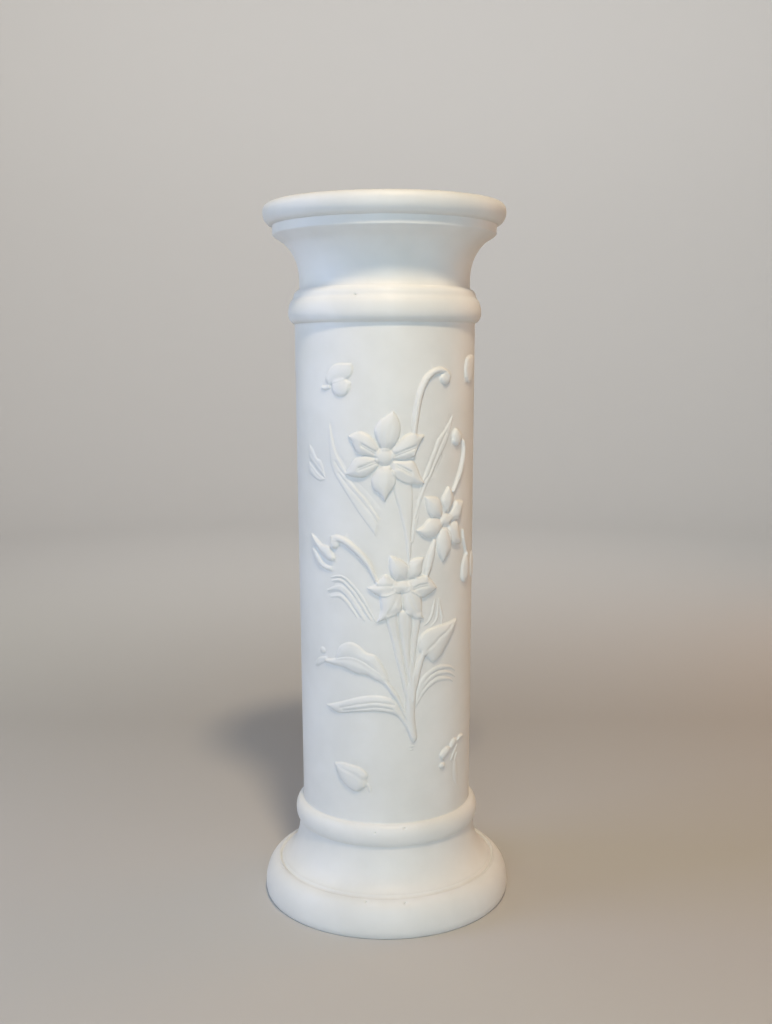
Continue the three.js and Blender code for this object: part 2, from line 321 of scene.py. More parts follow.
# %% Kinds of raised form
Kind = namedtuple("Kind", "high edge share")
PETAL = Kind(6.0, 2.4, 0.42)
LEAF = Kind(4.8, 2.4, 0.42)
LOW_LEAF = Kind(3.4, 2.4, 0.45)
WIDE_LEAF = Kind(4.2, 2.6, 0.42)
LEAF_FOLD = Kind(3.4, 3.2, 0.4)
LEAF_CURL = Kind(1.8, 4.0, 0.5)
FAINT_LEAF = Kind(1.5, 3.4, 0.5)
FAINTER_LEAF = Kind(1.4, 3.4, 0.5)
FAR_LEAF = Kind(3.4, 4.0, 0.6)
STEM = Kind(4.2, 5.0, 0.85)
TALL_STEM = Kind(2.4, 2.4, 0.7)
SHEAF = Kind(3.4, 3.5, 0.6)
MIDDLE_SHEAF = Kind(4.2, 4.5, 0.6)
GATHER = Kind(4.4, 6.0, 0.75)
KNOB = Kind(4.5, 4.2, 0.6)
BUTTON = Kind(7.0, 6.5, 0.5)
BUD = Kind(5.0, 4.5, 0.6)
FAR_BUD = Kind(2.6, 5.0, 0.6)
BUD_BASE = Kind(3.8, 3.5, 0.45)
BUD_WING = Kind(3.0, 2.6, 0.45)
BUD_STALK = Kind(2.6, 3.0, 0.7)
DROP_STALK = Kind(3.4, 2.8, 0.8)
SPRIG_LEAF = Kind(3.8, 2.6, 0.5)
SPRIG_TIP = Kind(3.4, 2.6, 0.5)
SPRIG_SEED = Kind(3.4, 3.5, 0.7)
SPRIG_TAIL = Kind(0.8, 4.5, 0.8)
BLADE = Kind(1.1, 2.0, 0.8)
RIPPLE = Kind(1.6, 2.6, 0.6)
print("a petal is", PETAL.high, "mm high, a grass blade", BLADE.high, "mm")

# %% Cuts
Cut = namedtuple("Cut", "deep wide")
PETAL_VEIN = Cut(1.5, 1.1)
LOW_PETAL_VEIN = Cut(1.4, 1.1)
STREAK = Cut(0.4, 1.6)
FOLD = Cut(0.9, 1.3)
DENT = Cut(0.7, 1.6)
STEM_VEIN = Cut(0.5, 1.4)
MIDRIB = Cut(1.0, 1.7)
LONG_VEIN = Cut(1.1, 1.3)
FINE_VEIN = Cut(0.9, 1.2)
SOFT_VEIN = Cut(0.7, 2.0)
FAINT_VEIN = Cut(0.4, 1.2)
STRAND_GAP = Cut(1.1, 1.1)
BLADE_GAP = Cut(0.9, 1.1)
TALL_CUP = Cut(3.0, 15)
CUP = Cut(2.6, 13)
STALK_DENT = Cut(1.6, 3.5)
LEAF_DENT = Cut(1.6, 2.6)
TWIN_GAP = 2.8
print("a petal's vein is", PETAL_VEIN.deep, "mm deep, the tall flower's cup", TALL_CUP.deep, "mm")

# %% The drawing so far
forms = []
grooves = []
dishes = []


def add(loop, kind, face="front"):
    """A raised form; it lies over the forms that were added before it."""
    forms.append((seated(loop), kind, face))


def vein(points, cut, face="front"):
    """A groove along a smooth line."""
    grooves.append((seated(curve_through(points)), cut, face))


def twin_veins(points, cut, face="front"):
    """Two veins side by side, one on each side of a petal's middle line."""
    for aside in (-TWIN_GAP / 2, TWIN_GAP / 2):
        vein([(u, z + aside) for u, z in points], cut, face)


def dish(u, z, cut, face="front"):
    """A cup: a flower's petals run down to its middle."""
    dishes.append((seated([(u, z)])[0], cut, face))


def tell(what):
    """Prints how far the drawing is."""
    print(f"{what}: {len(forms)} forms and {len(grooves)} veins so far")


tell("empty wall")

# %% [markdown]
# ## Side stems, buds and leaves at the left
# On the real column these lie close to the wall, behind the flowers. They could be joined to
# it one by one, but here the forms that lie lowest are simply drawn first, because each later
# form covers the ones before it. A stem is a thick line that thins towards its ends, and a bud
# is a small loop at the end of one.

# %% Stems of the small flower and the bud above it
add(stroke([(64, 494), (57, 470), (51, 446)], 11), STEM)
add(stroke([(117.5, 617), (119.5, 607), (117, 593), (112, 581), (107, 572), (95, 554)],
           8.5, 0.6, 0.6), STEM)
add(between([(93, 618), (94, 628), (101, 634), (114, 625)],
            [(95, 614), (103, 611), (110, 616), (114, 625)]), BUD)
tell("side stems")

# %% Curled bud stem and the leaves at the left edge
add(stroke([(-10, 443), (-20, 465), (-29, 477), (-40, 487), (-52, 495), (-63, 498),
            (-69, 496), (-69.5, 489)], 9, 0.5, 1), STEM)
add(round_loop(-66.5, 490.5, 6, 6.5), KNOB)
add(between([(-66, 472), (-70, 481), (-77, 487), (-88, 489), (-100, 496), (-111, 501)],
            [(-69, 468), (-79, 469), (-91, 478), (-103, 490), (-111, 501)]), LEAF)
add(between([(-71, 461), (-83, 464), (-91, 472), (-100, 481), (-108, 482)],
            [(-72, 455), (-84, 457), (-95, 462), (-104, 471), (-108, 482)]), LOW_LEAF)
vein([(-84, 469), (-92, 476), (-101, 485)], FINE_VEIN)
add(between([(-81, 573), (-84, 585), (-89, 594), (-95, 596), (-99, 600), (-104, 607),
             (-113, 614)],
            [(-81, 571), (-93, 581), (-104, 589), (-113, 597), (-113, 614)]), FAINT_LEAF)
dish(-93, 598, LEAF_DENT)
add(between([(-81, 572), (-93, 577), (-104, 585), (-114, 592)],
            [(-81, 570.5), (-89, 568), (-97, 569.5), (-106, 573), (-114, 578), (-114, 592)]),
    FAINTER_LEAF)
vein([(-85, 581), (-93, 588), (-101, 594), (-109, 602)], FAINT_VEIN)
vein([(-90, 572), (-98, 576), (-108, 584)], FAINT_VEIN)
tell("left edge")

# %% Wide leaf, low on the left
add(between([(-66, 350), (-60, 361), (-46, 367), (-34, 363), (-24, 355), (-12, 351), (-2, 335),
             (5, 318)],
            [(-66, 342), (-48, 344), (-34, 341), (-18, 332), (-6, 321), (5, 318)]),
    LEAF_FOLD)
add(between([(27, 270), (22, 285), (14, 303), (-1, 323), (-16, 335), (-32, 345), (-47, 348),
             (-66, 344), (-84, 340)],
            [(27, 264), (20, 278), (13.5, 292), (6.5, 301), (1, 310), (-6, 317), (-15, 321),
             (-24, 326), (-35, 326.5), (-46, 330), (-57, 334), (-69, 334.5), (-84, 336)]),
    WIDE_LEAF)
add(stroke([(-83, 340), (-94, 336), (-104, 329)], 9, 0.8, 0.4), RIPPLE)
add(round_loop(-89, 350.5, 5.5, 4.5), LEAF_CURL)
tell("wide leaf")

# %% [markdown]
# ## Grass
# The grass is a bundle of blades with sharp gaps between them. A modeller lays a low ridge and
# cuts the gaps with a point, and so does this drawing: one wide loop, or a few side by side,
# then a vein for each gap. That keeps the blades thin without a loop for every one of them.

# %% Grass on the left
for line, width in (([(-74, 447.5), (-62, 450), (-54, 448.8), (-46, 443), (-37, 434),
                      (-29, 423.5), (-20, 408), (-12, 394)], 4),
                    ([(-72, 443), (-62, 444.7), (-55, 443.4), (-48, 437.7), (-40, 429.3),
                      (-33, 419), (-26, 408.5), (-18, 396)], 5),
                    ([(-79, 430), (-66, 434.5), (-58, 434.5), (-51, 430), (-43, 421.5),
                      (-37, 412.5), (-30, 401.5), (-27, 396)], 8),
                    ([(-74, 422.5), (-64, 424.5), (-57, 423.5), (-49, 417), (-42, 408),
                      (-36, 399)], 5)):
    add(stroke(line, width, 0.4, 0.4), BLADE)
for line in ([(-72, 445.7), (-63.6, 447.9), (-56.4, 447), (-47.9, 441), (-39.3, 432.9),
              (-32, 422.9), (-25, 412.9), (-17, 400)],
             [(-67.9, 440), (-62, 441.4), (-55, 440), (-47.9, 434.3), (-40.7, 425.7),
              (-33.6, 415.7), (-26.4, 404), (-22, 397)],
             [(-76.4, 425.7), (-67.9, 428.6), (-60.7, 429.3), (-53.6, 425.7), (-45, 417),
              (-39.3, 408.6), (-33.6, 400)]):
    vein(line, STRAND_GAP)
add(between([(-12, 502), (-18, 511), (-33, 531), (-49, 554), (-66, 578), (-72, 592),
             (-74, 612), (-75, 645)],
            [(-8, 526), (-17, 539), (-25, 550), (-35, 560), (-44, 572), (-53, 588),
             (-64, 605), (-69, 622), (-75, 645)]), BLADE)
for line in ([(-10, 520), (-18, 532), (-33, 550), (-42, 559), (-52, 570), (-60, 580)],
             [(-8, 527), (-15, 538), (-23, 550), (-32, 559), (-40, 567), (-57, 583),
              (-65, 594)],
             [(-50, 588), (-56, 597), (-62, 605), (-67.5, 622), (-72, 642)],
             [(-7, 540), (-15, 550), (-23, 559), (-32, 567), (-42, 573)]):
    vein(line, BLADE_GAP)
tell("left grass")

# %% Grass on the right
add(between([(31, 490), (34, 515), (39, 540), (45, 564), (50, 577), (58.5, 597), (64, 608),
             (69, 620), (80, 633), (96, 651)],
            [(35, 494), (40, 515), (44.5, 537), (52, 560), (58.5, 572), (66, 587), (75, 602),
             (84, 617), (90, 630), (96, 651)]), BLADE)
for line in ([(48, 575), (52.5, 587), (57.5, 597), (63, 608), (68, 620), (80, 632.5),
              (92.5, 649)],
             [(31.7, 497), (33.3, 515), (37.5, 532), (41, 547), (45, 557), (50, 570),
              (56, 577), (61.7, 590), (68, 603), (73, 613), (82, 628)],
             [(39, 524), (43.3, 537), (46.7, 547), (51.7, 560), (58.3, 572), (66, 587),
              (72.5, 598)],
             [(62, 575), (70, 587), (78, 600)]):
    vein(line, BLADE_GAP)
for line in ([(50, 388), (55, 391), (60, 398), (63, 408), (65.5, 420)],
             [(60, 386), (67, 392), (70, 402), (71, 418)],
             [(76, 386), (77, 396), (74, 408), (72, 420)]):
    add(stroke(line, 4.0, 0.5, 0.3), BLADE)
tell("right grass")

# %% [markdown]
# ## Small forms at the right
# Near the edge of what is seen from the front there are a hanging bud, two forms that turn out
# of sight, and a little sprig near the foot. The hidden parts are completed by guess.

# %% Hanging bud and what turns out of sight
add(between([(127.5, 474), (120, 465), (115.5, 456), (114, 443), (117, 436), (124, 433)],
            [(129, 474), (133.5, 465), (136, 455), (135.5, 443), (131, 436), (124, 433)]), LEAF)
add(stroke([(118, 503), (119.5, 492), (124, 481), (128, 470)], 5.5, 0.6, 0.8), DROP_STALK)
add(round_loop(156, 452, 9, 18), FAR_BUD)
add(between([(122, 696), (121, 708), (126, 720), (138, 724), (156, 724)],
            [(128, 690), (140, 689), (150, 697), (154, 710), (156, 724)]), FAR_LEAF)
tell("right edge")

# %% Sprig near the foot
add(between([(76, 207.5), (73, 213), (77, 219), (84, 223), (91, 222)],
            [(80, 207.5), (86, 211), (91, 216), (91, 222)]), LEAF)
add(between([(90, 219), (92, 226), (98, 231), (105, 230)],
            [(92, 217), (98, 219), (104, 224), (105, 230)]), SPRIG_LEAF)
add(between([(106, 226), (110, 231), (117, 232.5), (125, 229)],
            [(108, 224), (114, 225.5), (120, 226), (125, 229)]), SPRIG_TIP)
add(round_loop(77.5, 199, 5, 4), SPRIG_SEED)
add(stroke([(95, 203), (102, 213), (108, 220)], 5, 0.7, 0.4), RIPPLE)
add(stroke([(103, 201), (107, 210)], 4, 0.7, 0.5), BLADE)
add(stroke([(103, 198), (104, 180), (107, 166)], 10, 0.7, 0.3), SPRIG_TAIL)
tell("sprig")

# %% [markdown]
# ## Stems and long leaves
# These stand prouder and lie over the grass. The long leaf and the bud leaf have a vein down
# the middle, and the stems run together into one thick foot. The forms that the back carries
# too are functions with a `face`, so that the same drawing serves twice.

# %% Curled stem
add(stroke([(35, 602), (37, 640), (42, 670), (49, 690), (58, 701), (70, 706), (81, 704),
            (86, 699)], 9, 0.5, 0.8), STEM)
add(round_loop(80.5, 695.5, 9, 7.5), KNOB)
tell("curled stem")


# %% Arching blades
def right_arches(face):
    """Three low blades that arch over to the right, from the foot of the spray."""
    for line, width in (
            ([(38, 290), (45, 312), (56, 324), (72, 330), (90, 328), (102, 321)], 6.5),
            ([(38, 287), (47, 307), (58, 318), (72, 323), (90, 320), (102, 313)], 6.0),
            ([(38, 284), (49, 302), (60, 311), (72, 315), (90, 312), (98, 307)], 6.0),
    ):
        add(stroke(line, width, 0.4, 0.3), RIPPLE, face)


right_arches("front")
tell("arching blades")


# %% Long leaf
def long_leaf(face):
    """The lowest leaf, from the foot of the spray far out to the left."""
    add(between([(35, 243), (26, 266), (16, 285), (6, 296), (-12, 300), (-34, 297), (-60, 288),
                 (-84, 280)],
                [(33, 240), (22, 262), (10, 275), (-12, 279), (-40, 277), (-64, 273), (-84, 280)]),
        LOW_LEAF, face)
    vein([(10, 288), (-12, 291), (-36, 287), (-60, 280)], LONG_VEIN, face)
    vein([(8, 282), (-12, 285), (-36, 281), (-56, 277)], FINE_VEIN, face)


long_leaf("front")
tell("long leaf")

# %% Sheaf of stems
add(between([(33, 405), (33, 390), (31.6, 367), (31.2, 345), (32, 325), (35, 290)],
            [(46, 405), (44, 390), (40, 367), (37.5, 345), (37, 325), (35, 290)]), SHEAF)
add(between([(0, 404), (1, 394), (6.5, 373), (12, 349), (17.5, 328), (23, 302), (30, 280)],
            [(14, 407), (15.5, 390), (19, 366), (22.7, 344), (27, 322), (30, 306), (30, 280)]),
    SHEAF)
add(between([(15, 409), (15.5, 390), (19, 366), (22.7, 344), (27, 322), (30, 306), (33, 285)],
            [(31, 409), (33, 390), (31.4, 367), (31, 345), (31.5, 325), (33, 306), (33, 285)]),
    MIDDLE_SHEAF)
vein([(24, 402), (25, 375), (27, 345), (29.5, 318)], STEM_VEIN)
vein([(7, 396), (12, 372), (17, 347), (22, 325)], STEM_VEIN)
add(between([(31, 350), (28, 322), (25, 298), (24, 272), (27.5, 252), (31, 241), (35.5, 237)],
            [(31, 350), (35, 322), (38, 298), (37, 272), (39, 252), (40, 242), (35.5, 237)]),
    GATHER)
add(stroke([(30, 232), (36, 232)], 2.6), RIPPLE)
add(stroke([(30, 228), (35, 227.5)], 2.2), RIPPLE)
add(between([(8, 585), (11, 556), (17, 535), (23, 510), (27, 480), (29, 462)],
            [(31, 585), (34, 556), (34, 540), (33, 510), (32, 480), (29, 462)]), TALL_STEM)
tell("sheaf of stems")


# %% Bud leaf on its stalk
def leaf_and_stalk(face):
    """The pointed leaf low on the right, with the thick stalk under it."""
    add(stroke([(51, 356), (46, 347), (41, 333), (37, 315), (34, 292)], 10, 0.8, 0.3), STEM, face)
    add(between([(45, 350), (41, 360), (43, 372), (52, 381), (68, 385), (86, 387), (104, 390)],
                [(52, 348), (61, 340), (71, 343), (79, 352), (90, 366), (98, 377), (104, 390)]),
        LEAF, face)
    vein([(54, 357), (62, 363), (72, 371), (80, 375), (90, 382)], MIDRIB, face)


leaf_and_stalk("front")
tell("bud leaf")


# %% [markdown]
# ## Flowers
# Each flower has six petals round a button. No two petals are alike, so each one is drawn by
# its two edges, and the order says which petal lies over its neighbour. A cup sinks the middle
# so that the petals run down to it. Two veins side by side leave the fine rib of a petal
# between them.

# %% Petals
def add_petals(sides, face="front"):
    """Petals from the two sides of each; a later one lies over an earlier one."""
    before = len(forms)
    for side_a, side_b in sides:
        add(between(side_a, side_b), PETAL, face)
    print(len(forms) - before, "petals")


# %% Tall flower
def tall_flower(face):
    """The biggest flower, high in the middle."""
    add_petals((
        ([(-4, 608), (-10, 622), (-13, 634), (-7, 645), (2, 651), (10, 657)],
         [(4, 608), (13, 617), (18, 627), (19, 637), (16, 648), (10, 657)]),
        ([(8, 610), (17, 621), (24, 627), (32, 630), (41, 628), (50, 627)],
         [(8, 598), (24, 597.5), (34, 600), (39, 607), (43, 616), (50, 627)]),
        ([(8, 596), (22, 596), (34, 596), (40, 587), (44, 577), (50, 567)],
         [(8, 580), (16, 573), (24, 569), (33, 567), (42, 566), (50, 567)]),
        ([(-8, 612), (-14, 622), (-20, 628), (-30, 632), (-38, 630.5), (-46.5, 626)],
         [(-8, 600), (-24, 602), (-34, 605), (-39, 613), (-42, 620), (-46.5, 626)]),
        ([(-8, 599), (-22, 602), (-33, 601), (-40, 596), (-45, 588), (-51, 579)],
         [(-8, 590), (-16, 582), (-23, 577), (-31, 575), (-41, 576), (-51, 579)]),
        ([(-3, 590), (-11, 584), (-17, 573), (-15, 562), (-8, 556), (0, 545)],
         [(5, 590), (11, 582), (13, 571), (9, 561), (4, 554), (0, 545)]),
    ), face)
    dish(-1, 601, TALL_CUP, face)
    add(round_loop(-1, 601, 12, 11), BUTTON, face)
    for line in ([(-12, 606), (-20, 611), (-28, 616)], [(12, 603), (24, 608), (37, 613)],
                 [(-12, 594), (-22, 590), (-32, 586)], [(14, 590), (22, 586), (31, 581)]):
        twin_veins(line, PETAL_VEIN, face)
    for aside in (-3, 5):
        vein([(aside, 622), (aside + 1, 632), (aside + 3, 642)], STREAK, face)


tall_flower("front")
tell("tall flower")

# %% Small flower
add_petals((
    ([(80, 529), (75, 543), (79, 553), (86.5, 562)],
     [(88, 529), (95, 543), (93, 553), (86.5, 562)]),
    ([(77, 527), (75, 539), (70, 548), (60, 550.5), (49.5, 551)],
     [(74, 522), (61, 524), (54, 531), (51, 541), (49.5, 551)]),
    ([(85, 525), (94, 533), (100, 541.5), (107, 542), (116, 541)],
     [(85, 518), (96, 517), (106, 518), (113, 527), (116, 541)]),
    ([(85, 513), (94, 515.5), (103, 515), (108, 503), (112, 486)],
     [(84, 505), (90, 490), (100, 486), (112, 486)]),
    ([(77, 520), (66, 523), (55, 522), (47, 514), (38, 509)],
     [(77, 511), (68, 502), (58, 499), (48, 501), (38, 509)]),
    ([(75, 510), (68.5, 499), (67, 487), (70, 477), (77, 466)],
     [(84, 510), (89, 498), (90.5, 484), (85, 475), (77, 466)]),
))
dish(81, 519, CUP)
add(round_loop(82, 519, 10, 9), BUTTON)
add(stroke([(82, 521), (80, 534)], 5), RIPPLE)
tell("small flower")

# %% Low flower
add_petals((
    ([(12, 446), (6, 456), (4, 468), (5, 479)],
     [(26, 448), (28, 458), (27, 467), (18, 474), (5, 479)]),
    ([(27, 450), (27.5, 463), (32, 472), (40, 475), (49, 475)],
     [(38, 448), (45, 455), (46.5, 465), (49, 475)]),
    ([(6, 441), (-5, 433), (-7, 420), (-6, 408), (-12, 393)],
     [(17, 441), (20, 422), (19.5, 409), (6, 401), (-12, 393)]),
    ([(22, 441), (20.5, 422), (23, 408), (33, 400), (50, 395.5)],
     [(36, 441), (44, 426), (46.5, 414), (46.5, 402), (50, 395.5)]),
    ([(14, 446), (8, 450), (0, 455), (-7, 450), (-14, 442), (-24, 438)],
     [(14, 433), (4, 428), (-5, 427), (-14, 430), (-24, 438)]),
    ([(28, 446), (40, 451), (50, 452), (60, 445), (68, 434)],
     [(28, 434), (38, 428), (46, 423), (56, 427), (68, 434)]),
))
dish(20, 440, CUP)
add(round_loop(20, 439, 12, 8.5), BUTTON)
add(round_loop(24.5, 449, 4, 4.5), RIPPLE)
twin_veins([(35, 436), (42, 439), (52, 440)], LOW_PETAL_VEIN)
vein([(8, 441), (0, 441), (-10, 440)], FOLD)
vein([(14, 426), (9, 416), (2, 405)], DENT)
vein([(29, 426), (34, 415), (40, 405)], DENT)
tell("low flower")


# %% [markdown]
# ## Loose leaf and high bud
# Two forms float free of the spray, a leaf near the foot and a bud near the head. Each is put
# together from a few small loops, because their outlines have several rounded parts. The
# leaf's one vein is soft on the real column, so it is wide and shallow here.

# %% Floating leaf
def low_floating_leaf(face):
    """The loose leaf under the spray, with its short stalk."""
    add(between([(-25, 185), (-24, 196), (-32, 204), (-46, 207), (-58, 208), (-70, 206)],
                [(-27, 178), (-38, 172), (-50, 176), (-60, 185), (-66, 195), (-70, 206)]),
        LEAF, face)
    add(stroke([(-29, 182), (-23, 181), (-21, 172)], 5, 1, 0.4), RIPPLE, face)
    add(round_loop(-50, 191, 5, 4), RIPPLE, face)
    add(round_loop(-40, 183, 4, 3.5), RIPPLE, face)
    dish(-25, 188, STALK_DENT, face)
    vein([(-64, 203), (-52, 199), (-40, 195), (-31, 189)], SOFT_VEIN, face)


low_floating_leaf("front")
tell("floating leaf")


# %% High bud
def high_bud(face):
    """The loose bud over the spray: a ball with one wing above it."""
    add(stroke([(-85, 685), (-79, 684.5), (-73, 686)], 6, 0.8, 1), BUD_STALK, face)
    add(round_loop(-56.5, 686, 13, 12), BUD_BASE, face)
    add(round_loop(-45.5, 690.5, 3.5, 2.8), RIPPLE, face)
    add(between([(-74, 687), (-79, 695), (-76, 703), (-69, 710.5), (-60, 714.5), (-41, 714.5)],
                [(-66, 690), (-57, 692.5), (-50, 694.5), (-43, 698.5), (-39.5, 706), (-41, 714.5)]),
        BUD_WING, face)


high_bud("front")
tell("high bud")

# %% [markdown]
# ## The back
# The photo doesn't show the back. A mould maker would rather repeat a form than leave a bare
# wall, so the back is guessed: one tall stem, and some forms of the front over again.

# %% Forms of the back
add(stroke([(9, 590), (16, 470), (28, 340), (37, 237)], 12), STEM, "back")
for make in (long_leaf, leaf_and_stalk, right_arches, tall_flower, low_floating_leaf, high_bud):
    make("back")
tell("whole drawing")

# %% [markdown]
# ## Heights on the flat wall
# The height over a point is found from its distance to the edge of each form that it lies in:
# a quick rounded edge and then a slow crown. Where a form lies over another, it starts at the
# height of the lower one and settles to its own, so that the edge of each petal reads against
# the next. The wall is cut open behind the right side, where nothing is drawn.

# %% Flat wall
TURNS = 192
SEAM_TURN = 55
GIRTH = 2 * math.pi * SHAFT_RADIUS
PITCH = GIRTH / TURNS
RIGHT = SEAM_TURN * PITCH
LEFT = RIGHT - GIRTH


def placed(points, face):
    """Front points as they are; back points mirrored to the other side of the column."""
    if face == "front":
        return points
    return np.stack([GIRTH / 2 - points[:, 0] - GIRTH, points[:, 1]], -1)


print("the wall runs from", round(LEFT, 1), "to", round(RIGHT, 1), "mm round the front")

# %% Distances to a line
LEAST_LENGTH = 1e-9


def distance(points, line, closed):
    """How far each point is from the line."""
    ends = np.roll(line, -1, 0) if closed else line[1:]
    starts = line if closed else line[:-1]
    along = ends - starts
    length = np.maximum((along ** 2).sum(-1), LEAST_LENGTH)
    to = points[:, None, :] - starts[None]
    t = np.clip((to * along).sum(-1) / length, 0, 1)
    return np.sqrt(((to - t[..., None] * along) ** 2).sum(-1)).min(1)


def inside(points, loop):
    """Which points lie in the loop, by counting its edges to the right of each."""
    a, b = loop, np.roll(loop, -1, 0)
    up = (a[:, 1] > points[:, 1:2]) != (b[:, 1] > points[:, 1:2])
    with np.errstate(divide="ignore", invalid="ignore"):
        cross = a[:, 0] + (points[:, 1:2] - a[:, 1]) * (b[:, 0] - a[:, 0]) / (b[:, 1] - a[:, 1])
    return ((points[:, 0:1] < cross) & up).sum(1) % 2 == 1


def within(points, loop):
    """Which points lie in the loop; only those in its box are counted."""
    near = ((points > loop.min(0)) & (points < loop.max(0))).all(1)
    near[near] = inside(points[near], loop)
    return near


probe = np.array([[0.0, 0.0], [9.0, 0.0]])
ring_round_probe = round_loop(0, 0, 5, 5)
print("in a ring of 5 mm:", within(probe, ring_round_probe).tolist(), "at",
      distance(probe, ring_round_probe, True).round(1).tolist(), "mm from it")

# %% Heights
CROWN_REACH = 12.0
SETTLE = 2.5
FULL_CUP_HEIGHT = 3.0
VEIN_REACH = 5.0
BARE_WALL_SHARE = 0.5


def rise(depth, kind):
    """How high a form of this kind stands at this depth inside its edge."""
    quick = np.sqrt(1 - (1 - np.clip(depth / kind.edge, 0, 1)) ** 2)
    crown = 1 - (1 - np.clip(depth / CROWN_REACH, 0, 1)) ** 2
    return kind.high * (kind.share * quick + (1 - kind.share) * crown)


def heights(points):
    """How far each point of the flat wall stands out of it."""
    found = np.zeros(len(points))
    for loop, kind, face in forms:
        loop = placed(loop, face)
        near = within(points, loop)
        depth = distance(points[near], loop, True)
        under = found[near]
        found[near] = np.maximum(under, rise(depth, kind) + under * np.exp(-depth / SETTLE))
    for middle, cut, face in dishes:
        far = np.hypot(*(points - placed(middle[None], face)[0]).T)
        found -= cut.deep * np.exp(-(far / cut.wide) ** 2) * np.clip(found / FULL_CUP_HEIGHT, 0, 1)
    for line, cut, face in grooves:
        line = placed(line, face)
        near = ((points > line.min(0) - VEIN_REACH) & (points < line.max(0) + VEIN_REACH)).all(1)
        gap = distance(points[near], line, False)
        found[near] -= (cut.deep * np.exp(-(gap / cut.wide) ** 2)
                        * np.clip(found[near], BARE_WALL_SHARE, 1))
    return found


print("height at the tall flower's button:", heights(np.array([[-1.0, 601.0]])).round(1)[0], "mm")

# %% [markdown]
# ## Pinholes
# Air bubbles leave round pinholes in a cast. The ones on the front sit on the mouldings and on
# the big flower; a few more are scattered over the hidden sides, with a fixed seed. They are
# cut into the mesh, since a pinhole in the material would not catch the light at its rim. Each
# one on the mouldings is given by its turn in degrees, its radius, its height and its size, and
# the one on the flower by its place in the drawing and its size.

# %% Pinhole places
PIN_DEEP = 1.2
PIN_SEED = 7
PIN_SIZES = (0.6, 1.1)
HIDDEN_PINS = 12
SEAM_CLEAR = 20
MARK_STEP = 0.25
MOULDING_PINS = ((-17.1, 118.5, 796.0, 1.0), (11.2, 119.8, 127.3, 1.1), (-6.8, 122.0, 122.3, 0.8),
                 (-9.8, 152.1, 43.9, 1.0), (8.6, 153.3, 43.1, 1.2))
PETAL_PIN = (7.0, 586.0, 1.3)

outline_marks = np.arange(0, run[-1], MARK_STEP)
outline_fine = places_along(outline, outline_marks)


def on_outline(radius, z):
    """How far along the outline the place nearest to this radius and height is."""
    return outline_marks[np.argmin(np.hypot(*(outline_fine - (radius, z)).T))]


pins = [(SHAFT_RADIUS * math.radians(turn), on_outline(radius, z), size)
        for turn, radius, z, size in MOULDING_PINS]
pins.append((PETAL_PIN[0], PETAL_PIN[1] + lift, PETAL_PIN[2]))
chance = np.random.default_rng(PIN_SEED)
lowest_pin = on_outline(PLINTH_RADIUS, PLINTH_WIDEST_Z)
highest_pin = on_outline(FILLET_RADIUS, FILLET_TOP_Z)
for _ in range(HIDDEN_PINS):
    pins.append((chance.uniform(LEFT + SEAM_CLEAR, -GIRTH / 4),
                 chance.uniform(lowest_pin, highest_pin), chance.uniform(*PIN_SIZES)))
print(len(pins), "pinholes")


# %% Pinhole depths
def stretch_at(s):
    """How much wider the sheet is than the wall, this far along the outline."""
    return SHAFT_RADIUS / np.interp(s, run, outline[:, 0])


def pin_depths(points):
    """How deep each point of the sheet lies in a pinhole, which is a round hollow."""
    found = np.zeros(len(points))
    for u, s, size in pins:
        far = np.hypot((points[:, 0] - u) / stretch_at(s), points[:, 1] - s) / size
        found += PIN_DEEP * np.sqrt(np.clip(1 - far ** 2, 0, 1))
    return found


print("deepest:", pin_depths(np.array([pin[:2] for pin in pins])).max().round(2), "mm")

# %% [markdown]
# ## Where the sheet needs points
# Fine rows follow every edge and vein, a fine lattice fills the band inside an edge, a wider
# one fills the crowns, and the plain wall needs few. The mouldings get one ring of points for
# each point of the outline. A raster remembers which places have a point, so that no two points
# crowd each other and the triangles stay even.

# %% Raster of taken places
CLOSE_CELL = 0.15
WIDE_CELL = 1.2
MARGIN_CELLS = 40
POINT_CLEAR = 0.55
WALL_CLEAR = 2.4


class Taken:
    """A raster over the sheet that says which places already have a point near them."""

    def __init__(self, cell):
        self.cell = cell
        self.grid = np.zeros((int(GIRTH / cell) + 2 * MARGIN_CELLS,
                              int(run[-1] / cell) + 2 * MARGIN_CELLS), bool)

    def cells(self, points):
        """The raster cell of each point."""
        column = ((points[:, 0] - LEFT) / self.cell + MARGIN_CELLS).astype(int)
        row = (points[:, 1] / self.cell + MARGIN_CELLS).astype(int)
        return column, row

    def free(self, points):
        """The points whose cell isn't taken."""
        return points[~self.grid[self.cells(points)]]

    def mark(self, points, clear):
        """Takes all cells that are this near to a point."""
        column, row = self.cells(points)
        reach = int(clear / self.cell)
        for i in range(-reach, reach + 1):
            for j in range(-reach, reach + 1):
                if math.hypot(i, j) * self.cell <= clear:
                    self.grid[column + i, row + j] = True


close = Taken(CLOSE_CELL)
wide = Taken(WIDE_CELL)
chosen = []


def put(points, clear=POINT_CLEAR):
    """Takes the points that have no other near them."""
    points = close.free(points)
    close.mark(points, clear)
    wide.mark(points, WALL_CLEAR)
    chosen.append(points)


print("raster of", close.grid.shape, "cells")

# %% Points round the pinholes
PIN_CORNERS = 10
PIN_RINGS = (0.55, 0.9, 1.15)
PIN_POINT_CLEAR = 0.2

turns = np.linspace(0, 2 * np.pi, PIN_CORNERS, endpoint=False)
for u, s, size in pins:
    rings = [[u, s]] + [[u + part * size * stretch_at(s) * math.cos(a),
                         s + part * size * math.sin(a)] for part in PIN_RINGS for a in turns]
    put(np.array(rings), PIN_POINT_CLEAR)
print(sum(len(points) for points in chosen), "points at the pinholes")

